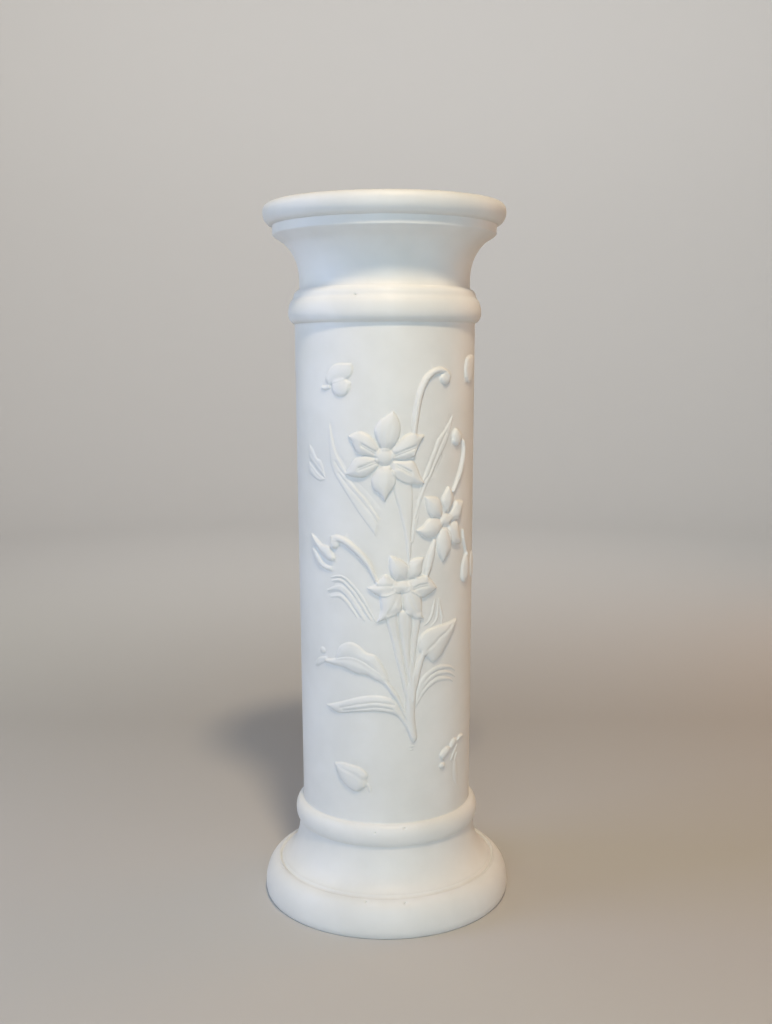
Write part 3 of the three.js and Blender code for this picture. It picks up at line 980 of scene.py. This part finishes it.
# %% Rings round the mouldings
ALMOST = 1e-6
RING_CLEAR = 0.3
PIN_CLEAR = 0.4
SHAFT_RINGS = (1.2, 4)

columns = LEFT + PITCH * np.arange(TURNS + 1)
shaft_end = shaft_start + SHAFT_TO_Z - SHAFT_FROM_Z
moulding = (run <= shaft_start + ALMOST) | (run >= shaft_end - ALMOST)
ring_rows = [shaft_start + step for step in SHAFT_RINGS]
ring_rows += [shaft_end - step for step in reversed(SHAFT_RINGS)]
for s in np.append(run[moulding], ring_rows):
    ring = np.stack([columns, np.full(TURNS + 1, s)], -1)
    near_pin = np.zeros(len(ring), bool)
    for u, pin_s, size in pins:
        near_pin |= np.hypot(ring[:, 0] - u, s - pin_s) < size + PIN_CLEAR
    chosen.append(ring[~near_pin])
    close.mark(ring, RING_CLEAR)
    wide.mark(ring, WALL_CLEAR)
print(sum(len(points) for points in chosen), "points with the rings")

# %% The two sides of the seam
COARSE = 6.0

seam_rows = np.linspace(shaft_start, shaft_end, int((SHAFT_TO_Z - SHAFT_FROM_Z) / COARSE))[1:-1]
for x in (LEFT, RIGHT):
    put(np.stack([np.full(len(seam_rows), x), seam_rows], -1), RING_CLEAR)
print(len(seam_rows), "points up each side, so that they meet when the sheet is turned")

# %% Rows along the veins and edges
VEIN_ROWS = (0.0, 0.8, -0.8)
EDGE_ROWS = (0.0, 0.8, -0.8)
COVERED = 0.8
LEAST_SIDE = 1e-6


def up_wall(points):
    """Places on the wall as places on the sheet, which starts under the foot."""
    return points + (0, lift)


def clear_of_later(points, order):
    """Leaves out the points that a later form covers, because they wouldn't show."""
    for loop, kind, face in forms[order + 1:]:
        loop = placed(loop, face)
        hidden = within(points, loop)
        hidden[hidden] = distance(points[hidden], loop, True) > COVERED
        points = points[~hidden]
    return points


def beside(line, step, closed):
    """The line moved sideways by the step, inwards where it is a closed loop."""
    if closed:
        after = np.roll(line, -1, 0)
        along = after - np.roll(line, 1, 0)
        step *= math.copysign(1, (line[:, 0] * after[:, 1] - after[:, 0] * line[:, 1]).sum())
    else:
        along = np.gradient(line, axis=0)
    side = np.stack([-along[:, 1], along[:, 0]], -1)
    return line + side / np.maximum(np.hypot(*along.T), LEAST_SIDE)[:, None] * step


for line, cut, face in grooves:
    for row in VEIN_ROWS:
        put(up_wall(placed(beside(line, row * cut.wide, False), face)))
for order in reversed(range(len(forms))):
    loop, kind, face = forms[order]
    loop = placed(loop, face)
    for row in EDGE_ROWS:
        put(up_wall(clear_of_later(beside(loop, row, True), order)))
print(sum(len(points) for points in chosen), "points with the rows")

# %% Lattices inside the forms and over the plain wall
FINE = 1.2
MIDDLE = 1.9
EDGE_BAND = 4.0
LATTICE_CLEAR = 0.9
LATTICE_MARGIN = 3


def lattice(spacing):
    """Points in even triangles all over the wall."""
    u, z = np.meshgrid(np.arange(LEFT + LATTICE_MARGIN, RIGHT - LATTICE_MARGIN, spacing),
                       np.arange(SHAFT_FROM_Z + LATTICE_MARGIN, SHAFT_TO_Z - LATTICE_MARGIN,
                                 spacing * math.sqrt(3) / 2), indexing="ij")
    u = u + (np.arange(u.shape[1]) % 2) * spacing / 2
    return np.stack([u.ravel(), z.ravel()], -1)


fine = lattice(FINE)
in_band = np.zeros(len(fine), bool)
middle = lattice(MIDDLE)
in_form = np.zeros(len(middle), bool)
for loop, kind, face in forms:
    loop = placed(loop, face)
    near = within(fine, loop)
    near[near] = distance(fine[near], loop, True) < EDGE_BAND
    in_band |= near
    in_form |= within(middle, loop)
put(up_wall(fine[in_band]), LATTICE_CLEAR)
put(up_wall(middle[in_form]), LATTICE_CLEAR)
chosen.append(wide.free(up_wall(lattice(COARSE))))
flat = np.vstack(chosen)
print(len(flat), "points in all")

# %% [markdown]
# ## The sheet and the template
# The points are joined into the fattest triangles they can make, which shade best. The sheet
# stays flat, and each point carries its height as an attribute named `proud`. The template
# board is the outline as a line of edges. Both are in metres.

# %% Triangles
SAME_PLACE = 1e-5

corners, _, faces, _, _, _ = geometry.delaunay_2d_cdt([Vector(p) for p in flat], [], [], 0,
                                                      SAME_PLACE)
flat = np.array([tuple(c) for c in corners])
proud = -pin_depths(flat)
on_wall = (flat[:, 1] > shaft_start) & (flat[:, 1] < shaft_end)
proud[on_wall] += heights(flat[on_wall] - (0, lift))
print(len(flat), "corners and", len(faces), "triangles; highest", round(proud.max(), 2), "mm")

# %% Sheet and template board
sheet = bpy.data.meshes.new("flat_wall")
sheet.from_pydata([(u * MM, s * MM, 0.0) for u, s in flat], [], [tuple(f) for f in faces])
sheet.attributes.new("proud", "FLOAT", "POINT").data.foreach_set(
    "value", (proud * MM).astype(np.float32))
column = bpy.data.objects.new("plaster_column", sheet)
bpy.context.scene.collection.objects.link(column)

template = bpy.data.meshes.new("template_board")
template.from_pydata([(r * MM, 0.0, z * MM) for r, z in outline],
                     [(i, i + 1) for i in range(len(outline) - 1)], [])
board = bpy.data.objects.new("template_board", template)
bpy.context.scene.collection.objects.link(board)
print(len(sheet.polygons), "flat faces and", len(template.edges), "edges on the template")

# %% [markdown]
# ## Turning the flat sheet with Geometry Nodes
# The tree does what the plasterer's turntable does: each point of the flat sheet says how far
# round it is and how far along the template, and the tree puts it there, standing out of the
# wall by its stored height. Its sizes are named inputs, so the same tree would turn another
# sheet on another template.

# %% Inputs of the tree
tree = bpy.data.node_groups.new("turn_the_wall", "GeometryNodeTree")


def socket(name, kind, way="INPUT"):
    """Adds a named input or output to the tree."""
    return tree.interface.new_socket(name, in_out=way, socket_type="NodeSocket" + kind)


socket("Geometry", "Geometry")
template_socket = socket("Template", "Object")
girth_socket = socket("Girth", "Float")
weld_socket = socket("Weld", "Float")
finish_socket = socket("Finish", "Material")
socket("Geometry", "Geometry", "OUTPUT")


def node(owner, kind, inputs=None, **settings):
    """Adds a node; each input gets a value or another node's output. Gives its outputs."""
    made = owner.nodes.new(kind)
    for name, value in settings.items():
        setattr(made, name, value)
    for name, source in (inputs or {}).items():
        if isinstance(source, bpy.types.NodeSocket):
            owner.links.new(source, made.inputs[name])
        else:
            made.inputs[name].default_value = source
    return made.outputs


given = node(tree, "NodeGroupInput")
print("inputs:", [output.name for output in given if output.name])

# %% Along the template and out of the wall
OUT_OF_PLANE = (0, -1, 0)

flat_place = node(tree, "GeometryNodeInputPosition")["Position"]
here = node(tree, "ShaderNodeSeparateXYZ", {"Vector": flat_place})
shape = node(tree, "GeometryNodeObjectInfo", {"Object": given["Template"]})["Geometry"]
curve = node(tree, "GeometryNodeMeshToCurve", {"Mesh": shape})["Curve"]
sample = node(tree, "GeometryNodeSampleCurve", {"Curves": curve, "Length": here["Y"]},
              mode="LENGTH", use_all_curves=True)
stand = node(tree, "GeometryNodeInputNamedAttribute", {"Name": "proud"},
             data_type="FLOAT")["Attribute"]
out_way = node(tree, "ShaderNodeVectorMath", {0: sample["Tangent"], 1: OUT_OF_PLANE},
               operation="CROSS_PRODUCT")[0]
stood = node(tree, "ShaderNodeVectorMath", {0: out_way, "Scale": stand}, operation="SCALE")[0]
on_side = node(tree, "ShaderNodeVectorMath", {0: sample["Position"], 1: stood},
               operation="ADD")[0]
print(len(tree.nodes), "nodes so far")

# %% Round the column, closed and finished
share = node(tree, "ShaderNodeMath", {0: here["X"], 1: given["Girth"]}, operation="DIVIDE")[0]
angle = node(tree, "ShaderNodeMath", {0: share, 1: 2 * math.pi}, operation="MULTIPLY")[0]
from_front = node(tree, "ShaderNodeMath", {0: angle, 1: math.pi / 2}, operation="SUBTRACT")[0]
round_place = node(tree, "ShaderNodeVectorRotate", {"Vector": on_side, "Angle": from_front},
                   rotation_type="Z_AXIS")["Vector"]
wrapped = node(tree, "GeometryNodeSetPosition",
               {"Geometry": given["Geometry"], "Position": round_place})["Geometry"]
closed = node(tree, "GeometryNodeMergeByDistance",
              {"Geometry": wrapped, "Distance": given["Weld"]})["Geometry"]
smooth = node(tree, "GeometryNodeSetShadeSmooth", {"Geometry": closed})["Geometry"]
real = node(tree, "GeometryNodeRealizeInstances", {"Geometry": smooth})["Geometry"]
painted = node(tree, "GeometryNodeSetMaterial",
               {"Geometry": real, "Material": given["Finish"]})["Geometry"]
node(tree, "NodeGroupOutput", {"Geometry": painted})
print(len(tree.nodes), "nodes and", len(tree.links), "links")

# %% [markdown]
# ## The finish
# Off-white satin paint over plaster. The coat varies a little in tint and in shine, the brush
# went up and down the shaft and left faint streaks. Where the wall is hollow, along the edges of
# the petals and in the creases of the mouldings, shade is painted into the colour. All of it is
# noise on Object coordinates, so that it has no seam, and the painted shade follows an attribute of
# the mesh.

# %% Helpers of the finish
# The Mix node's colour sockets go by number, because its other sockets have the same names.
MIX_A = 6
MIX_B = 7
MIX_RESULT = 2

plaster = bpy.data.materials.new("painted_plaster")
plaster.use_nodes = True
finish = plaster.node_tree
shader = finish.nodes["Principled BSDF"]
place = node(finish, "ShaderNodeTexCoord")["Object"]


def noise(scale, detail, stretch=(1, 1, 1)):
    """Noise over the object, drawn out along an axis where the stretch is below 1."""
    drawn = node(finish, "ShaderNodeMapping", {"Vector": place, "Scale": stretch})["Vector"]
    return node(finish, "ShaderNodeTexNoise",
                {"Vector": drawn, "Scale": scale, "Detail": detail})["Fac"]


def spread(value, low, high, to_low, to_high):
    """The value moved from one range to another and kept inside it."""
    return node(finish, "ShaderNodeMapRange", {"Value": value, "From Min": low, "From Max": high,
                                               "To Min": to_low, "To Max": to_high})["Result"]


def tinted(share, first, second):
    """A mix of two colours, each a plain colour or another mix."""
    return node(finish, "ShaderNodeMix", {"Factor": share, MIX_A: first, MIX_B: second},
                data_type="RGBA")[MIX_RESULT]


def relief(height, deep_mm, strength, under=None):
    """A bump of this depth, laid over another one."""
    inputs = {"Height": height, "Distance": deep_mm * MM, "Strength": strength}
    if under is not None:
        inputs["Normal"] = under
    return node(finish, "ShaderNodeBump", inputs)["Normal"]


print("material", plaster.name)

# %% Tint and painted shade
CLEAN_TINT = (0.86, 0.86, 0.84, 1)
SHADY_TINT = (0.80, 0.80, 0.775, 1)
PAINTED_SHADE_TINT = (0.56, 0.54, 0.50, 1)
PAINTED_SHADE_MOST = 0.35
PAINTED_SHADE_LEAST = 0.1225
COAT_PATCHES = (14, 4)
PAINTED_SHADE_PATCHES = (45, 3)
NOISE_MIDDLE = (0.35, 0.65)
NOISE_MOST = (0.3, 0.7)

hollow = node(finish, "ShaderNodeAttribute", attribute_name="hollow")["Fac"]
coat = tinted(spread(noise(*COAT_PATCHES), *NOISE_MIDDLE, 0, 1), SHADY_TINT, CLEAN_TINT)
patchy = spread(noise(*PAINTED_SHADE_PATCHES), *NOISE_MOST, PAINTED_SHADE_LEAST, PAINTED_SHADE_MOST)
# Painted shade: the hollows are mixed towards a darker tint, in uneven patches, as shade would
# darken them.
painted_shade = node(finish, "ShaderNodeMath", {0: hollow, 1: patchy}, operation="MULTIPLY")[0]
finish.links.new(tinted(painted_shade, coat, PAINTED_SHADE_TINT), shader.inputs["Base Color"])
print("dust covers", PAINTED_SHADE_LEAST, "to", PAINTED_SHADE_MOST, "of a hollow's tint")

# %% Shine and brush streaks
SHINE_PATCHES = (30, 3)
ROUGHNESS = (0.42, 0.58)
UNEVEN_NOISE = (11, 2)
UNEVEN_DEEP = 1.6
BRUSH_NOISE = (150, 2, (1, 1, 0.06))
BRUSH_DEEP = 0.25
GRAIN_NOISE = (420, 2)
GRAIN_DEEP = 0.3
COARSE_STRENGTH = 0.25
GRAIN_STRENGTH = 0.15

shine = spread(noise(*SHINE_PATCHES), *NOISE_MOST, *ROUGHNESS)
finish.links.new(shine, shader.inputs["Roughness"])
uneven = relief(noise(*UNEVEN_NOISE), UNEVEN_DEEP, COARSE_STRENGTH)
brushed = relief(noise(*BRUSH_NOISE), BRUSH_DEEP, COARSE_STRENGTH, uneven)
grained = relief(noise(*GRAIN_NOISE), GRAIN_DEEP, GRAIN_STRENGTH, brushed)
finish.links.new(grained, shader.inputs["Normal"])
print(len(finish.nodes), "nodes in the finish")

# %% [markdown]
# ## The turned column as a plain mesh
# A modifier runs the tree on the sheet. Its result is copied out as a plain mesh and the
# modifier is taken off, because the frame wants a finished piece. The two sides of the seam and
# the two ends have been welded, so there should be no open edge.

# %% Turn it
WELD = 0.01

modifier = column.modifiers.new("turning", "NODES")
modifier.node_group = tree
modifier[template_socket.identifier] = board
modifier[girth_socket.identifier] = GIRTH * MM
modifier[weld_socket.identifier] = WELD * MM
modifier[finish_socket.identifier] = plaster
bpy.context.view_layer.update()
done = bpy.data.meshes.new_from_object(
    column.evaluated_get(bpy.context.evaluated_depsgraph_get()))
column.modifiers.clear()
column.data = done
bpy.data.objects.remove(board)
bpy.data.meshes.remove(sheet)
print(len(done.polygons), "faces")

# %% Faces outwards, and a look at the mesh
LITRES = 1000

work = bmesh.new()
work.from_mesh(done)
bmesh.ops.recalc_face_normals(work, faces=work.faces)
open_edges = sum(1 for edge in work.edges if len(edge.link_faces) != 2)
volume = work.calc_volume()
work.to_mesh(done)
work.free()
print(open_edges, "open edges,", round(volume * LITRES, 2), "litres")

# %% [markdown]
# ## Where shade is painted
# A point is hollow where its neighbours stand prouder than it does, and there the finish paints
# shade. The bend towards each neighbour is its height over the point's own plane, over the square
# of how far away it is, so that fine and coarse parts of the mesh agree. Sharing the bend with
# the neighbours a few times makes the painted shade fade out softly.

# %% Hollows
PAINTED_SHADE_BEND = 0.35
SPREADS = 3
PAINTED_SHADE_FROM = 0.3

count = len(done.vertices)
spots = np.empty(count * 3)
done.vertices.foreach_get("co", spots)
spots = spots.reshape(-1, 3) / MM
facing = np.empty(count * 3)
done.vertices.foreach_get("normal", facing)
facing = facing.reshape(-1, 3)
pairs = np.empty(len(done.edges) * 2, int)
done.edges.foreach_get("vertices", pairs)
pairs = pairs.reshape(-1, 2).T
here_ends, there_ends = np.hstack([pairs, pairs[::-1]])
step = spots[there_ends] - spots[here_ends]
bend = 2 * (step * facing[here_ends]).sum(-1) / (step ** 2).sum(-1)
neighbours = np.bincount(here_ends, minlength=count)
hollows = np.bincount(here_ends, bend, count) / neighbours
for _ in range(SPREADS):
    hollows = (hollows + np.bincount(here_ends, hollows[there_ends], count) / neighbours) / 2
hollows = np.clip(hollows / PAINTED_SHADE_BEND, 0, 1)
# The hollow attribute says where the finish paints shade.
done.attributes.new("hollow", "FLOAT", "POINT").data.foreach_set(
    "value", hollows.astype(np.float32))
print(round(100 * float((hollows > PAINTED_SHADE_FROM).mean()), 1), "% of the points lie in a hollow")

# %% Into the frame
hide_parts("column")
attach(column, "root")
print(column.name, "stands in for the solid, still and in plaster")

# %% [markdown]
# ## Floor and backdrop
# A photographer's sweep: a flat floor that bends up into a wall, here all the way round, so
# that every angle has the same plain pale ground. It is spun from its side view. From here on
# everything is in metres, as in Blender itself.

# %% Sweep
SWEEP_FLAT = 3.5
SWEEP_BEND = 1.5
SWEEP_BEND_STEPS = 12
SWEEP_TOP = 5.0
SWEEP_TURNS = 96
SWEEP_WELD = 0.001
SWEEP_TINT = (0.58, 0.57, 0.555, 1)
SWEEP_ROUGHNESS = 0.8

sweep_side = [(0.0, 0.0)]
sweep_side += arc((SWEEP_FLAT, SWEEP_BEND), SWEEP_BEND, SWEEP_BEND, -90, 0, SWEEP_BEND_STEPS)
sweep_side.append((SWEEP_FLAT + SWEEP_BEND, SWEEP_TOP))
bowl = bmesh.new()
side = [bowl.verts.new((r, 0, z)) for r, z in sweep_side]
edges = [bowl.edges.new(pair) for pair in zip(side[:-1], side[1:])]
bmesh.ops.spin(bowl, geom=side + edges, cent=(0, 0, 0), axis=(0, 0, 1), angle=2 * math.pi,
               steps=SWEEP_TURNS, use_duplicate=False)
bmesh.ops.remove_doubles(bowl, verts=bowl.verts, dist=SWEEP_WELD)
bmesh.ops.recalc_face_normals(bowl, faces=bowl.faces)
if sum(face.normal.z for face in bowl.faces) < 0:
    bmesh.ops.reverse_faces(bowl, faces=bowl.faces)
for face in bowl.faces:
    face.smooth = True
sweep_mesh = bpy.data.meshes.new("studio_sweep")
bowl.to_mesh(sweep_mesh)
bowl.free()

pale = bpy.data.materials.new("pale_sweep")
pale.use_nodes = True
pale_shader = pale.node_tree.nodes["Principled BSDF"]
pale_shader.inputs["Base Color"].default_value = SWEEP_TINT
pale_shader.inputs["Roughness"].default_value = SWEEP_ROUGHNESS
sweep_mesh.materials.append(pale)
sweep = bpy.data.objects.new("studio_sweep", sweep_mesh)
bpy.context.scene.collection.objects.link(sweep)
print(len(sweep_mesh.polygons), "faces in the sweep")

# %% [markdown]
# ## Light
# A small warm lamp high in front draws the petals' shadows and the shadow under the rim. A wide
# cool softbox in front fills them, one at the left cools that side, and two weak ones behind
# give the edges their tints. The last one is turned away from the column, to the backdrop.

# %% World
WORLD_TINT = (0.90, 0.95, 1.0, 1)
WORLD_STRENGTH = 0.03

world = bpy.data.worlds.new("studio")
world.use_nodes = True
background = world.node_tree.nodes["Background"]
background.inputs["Color"].default_value = WORLD_TINT
background.inputs["Strength"].default_value = WORLD_STRENGTH
bpy.context.scene.world = world
bpy.context.scene.view_settings.view_transform = "Standard"
print("view transform", bpy.context.scene.view_settings.view_transform)

# %% Key lamp
KEY_PLACE = (0.18, -1.285, 2.65)
KEY_RADIUS = 0.13
KEY_POWER = 133
KEY_TINT = (1.0, 0.80, 0.55)

lamp = bpy.data.lights.new("key", "POINT")
lamp.shadow_soft_size = KEY_RADIUS
lamp.energy = KEY_POWER
lamp.color = KEY_TINT
key = bpy.data.objects.new("key", lamp)
bpy.context.scene.collection.objects.link(key)
key.location = KEY_PLACE
key.visible_camera = False
print("key lamp at", KEY_PLACE)

# %% Softboxes
Softbox = namedtuple("Softbox", "name place aim size power tint")
MIDDLE_OF_COLUMN = (0, 0, 0.5)
SIDE_SIZE = (1.2, 1.8)
SOFTBOXES = (
    Softbox("front", (0, -2.9, 0.9), MIDDLE_OF_COLUMN, (1.8, 1.4), 31, (0.56, 0.80, 1.0)),
    Softbox("cool_side", (-2.2, -0.4, 1.2), MIDDLE_OF_COLUMN, SIDE_SIZE, 20.2, (0.48, 0.62, 1.0)),
    Softbox("left_behind", (-2.0, 0.9, 1.3), MIDDLE_OF_COLUMN, SIDE_SIZE, 4.7, (0.9, 1.0, 0.58)),
    Softbox("right_behind", (2.0, 0.9, 1.0), MIDDLE_OF_COLUMN, SIDE_SIZE, 7.7, (1.0, 0.39, 0.02)),
    Softbox("backdrop", (0, 1.2, 3.0), (0, 5.0, 2.4), (3.0, 1.0), 105, (1, 1, 1)),
)

for box in SOFTBOXES:
    light = bpy.data.lights.new(box.name, "AREA")
    light.shape = "RECTANGLE"
    light.size, light.size_y = box.size
    light.energy = box.power
    light.color = box.tint
    made = bpy.data.objects.new(box.name, light)
    bpy.context.scene.collection.objects.link(made)
    made.location = box.place
    made.visible_camera = False
    way = Vector(box.aim) - Vector(box.place)
    made.rotation_euler = way.to_track_quat("-Z", "Y").to_euler()
print(len(SOFTBOXES), "softboxes")

# %% [markdown]
# ## Camera
# The photo was taken from a little above the middle, looking slightly down, with a normal lens.
# The place, the tilt and the lens were fitted to the edges of the column in the photo.

# %% Camera
SENSOR = 36.0
PHOTO_TALL = 1024
LENS_IN_PIXELS = 1172.6261
CAMERA_PLACE = (0.00084, -1.5447, 0.7219)
CAMERA_TILT = 0.1315
CAMERA_ROLL = -0.0033

camera_data = bpy.data.cameras.new("camera")
camera_data.sensor_width = SENSOR
camera_data.lens = SENSOR * LENS_IN_PIXELS / PHOTO_TALL
camera = bpy.data.objects.new("camera", camera_data)
bpy.context.scene.collection.objects.link(camera)
camera.location = CAMERA_PLACE
camera.rotation_mode = "XYZ"
camera.rotation_euler = (math.pi / 2 - CAMERA_TILT, 0, 0)
camera.rotation_euler.rotate_axis("Z", CAMERA_ROLL)
bpy.context.scene.camera = camera
print("lens of", round(camera_data.lens, 1), "mm")
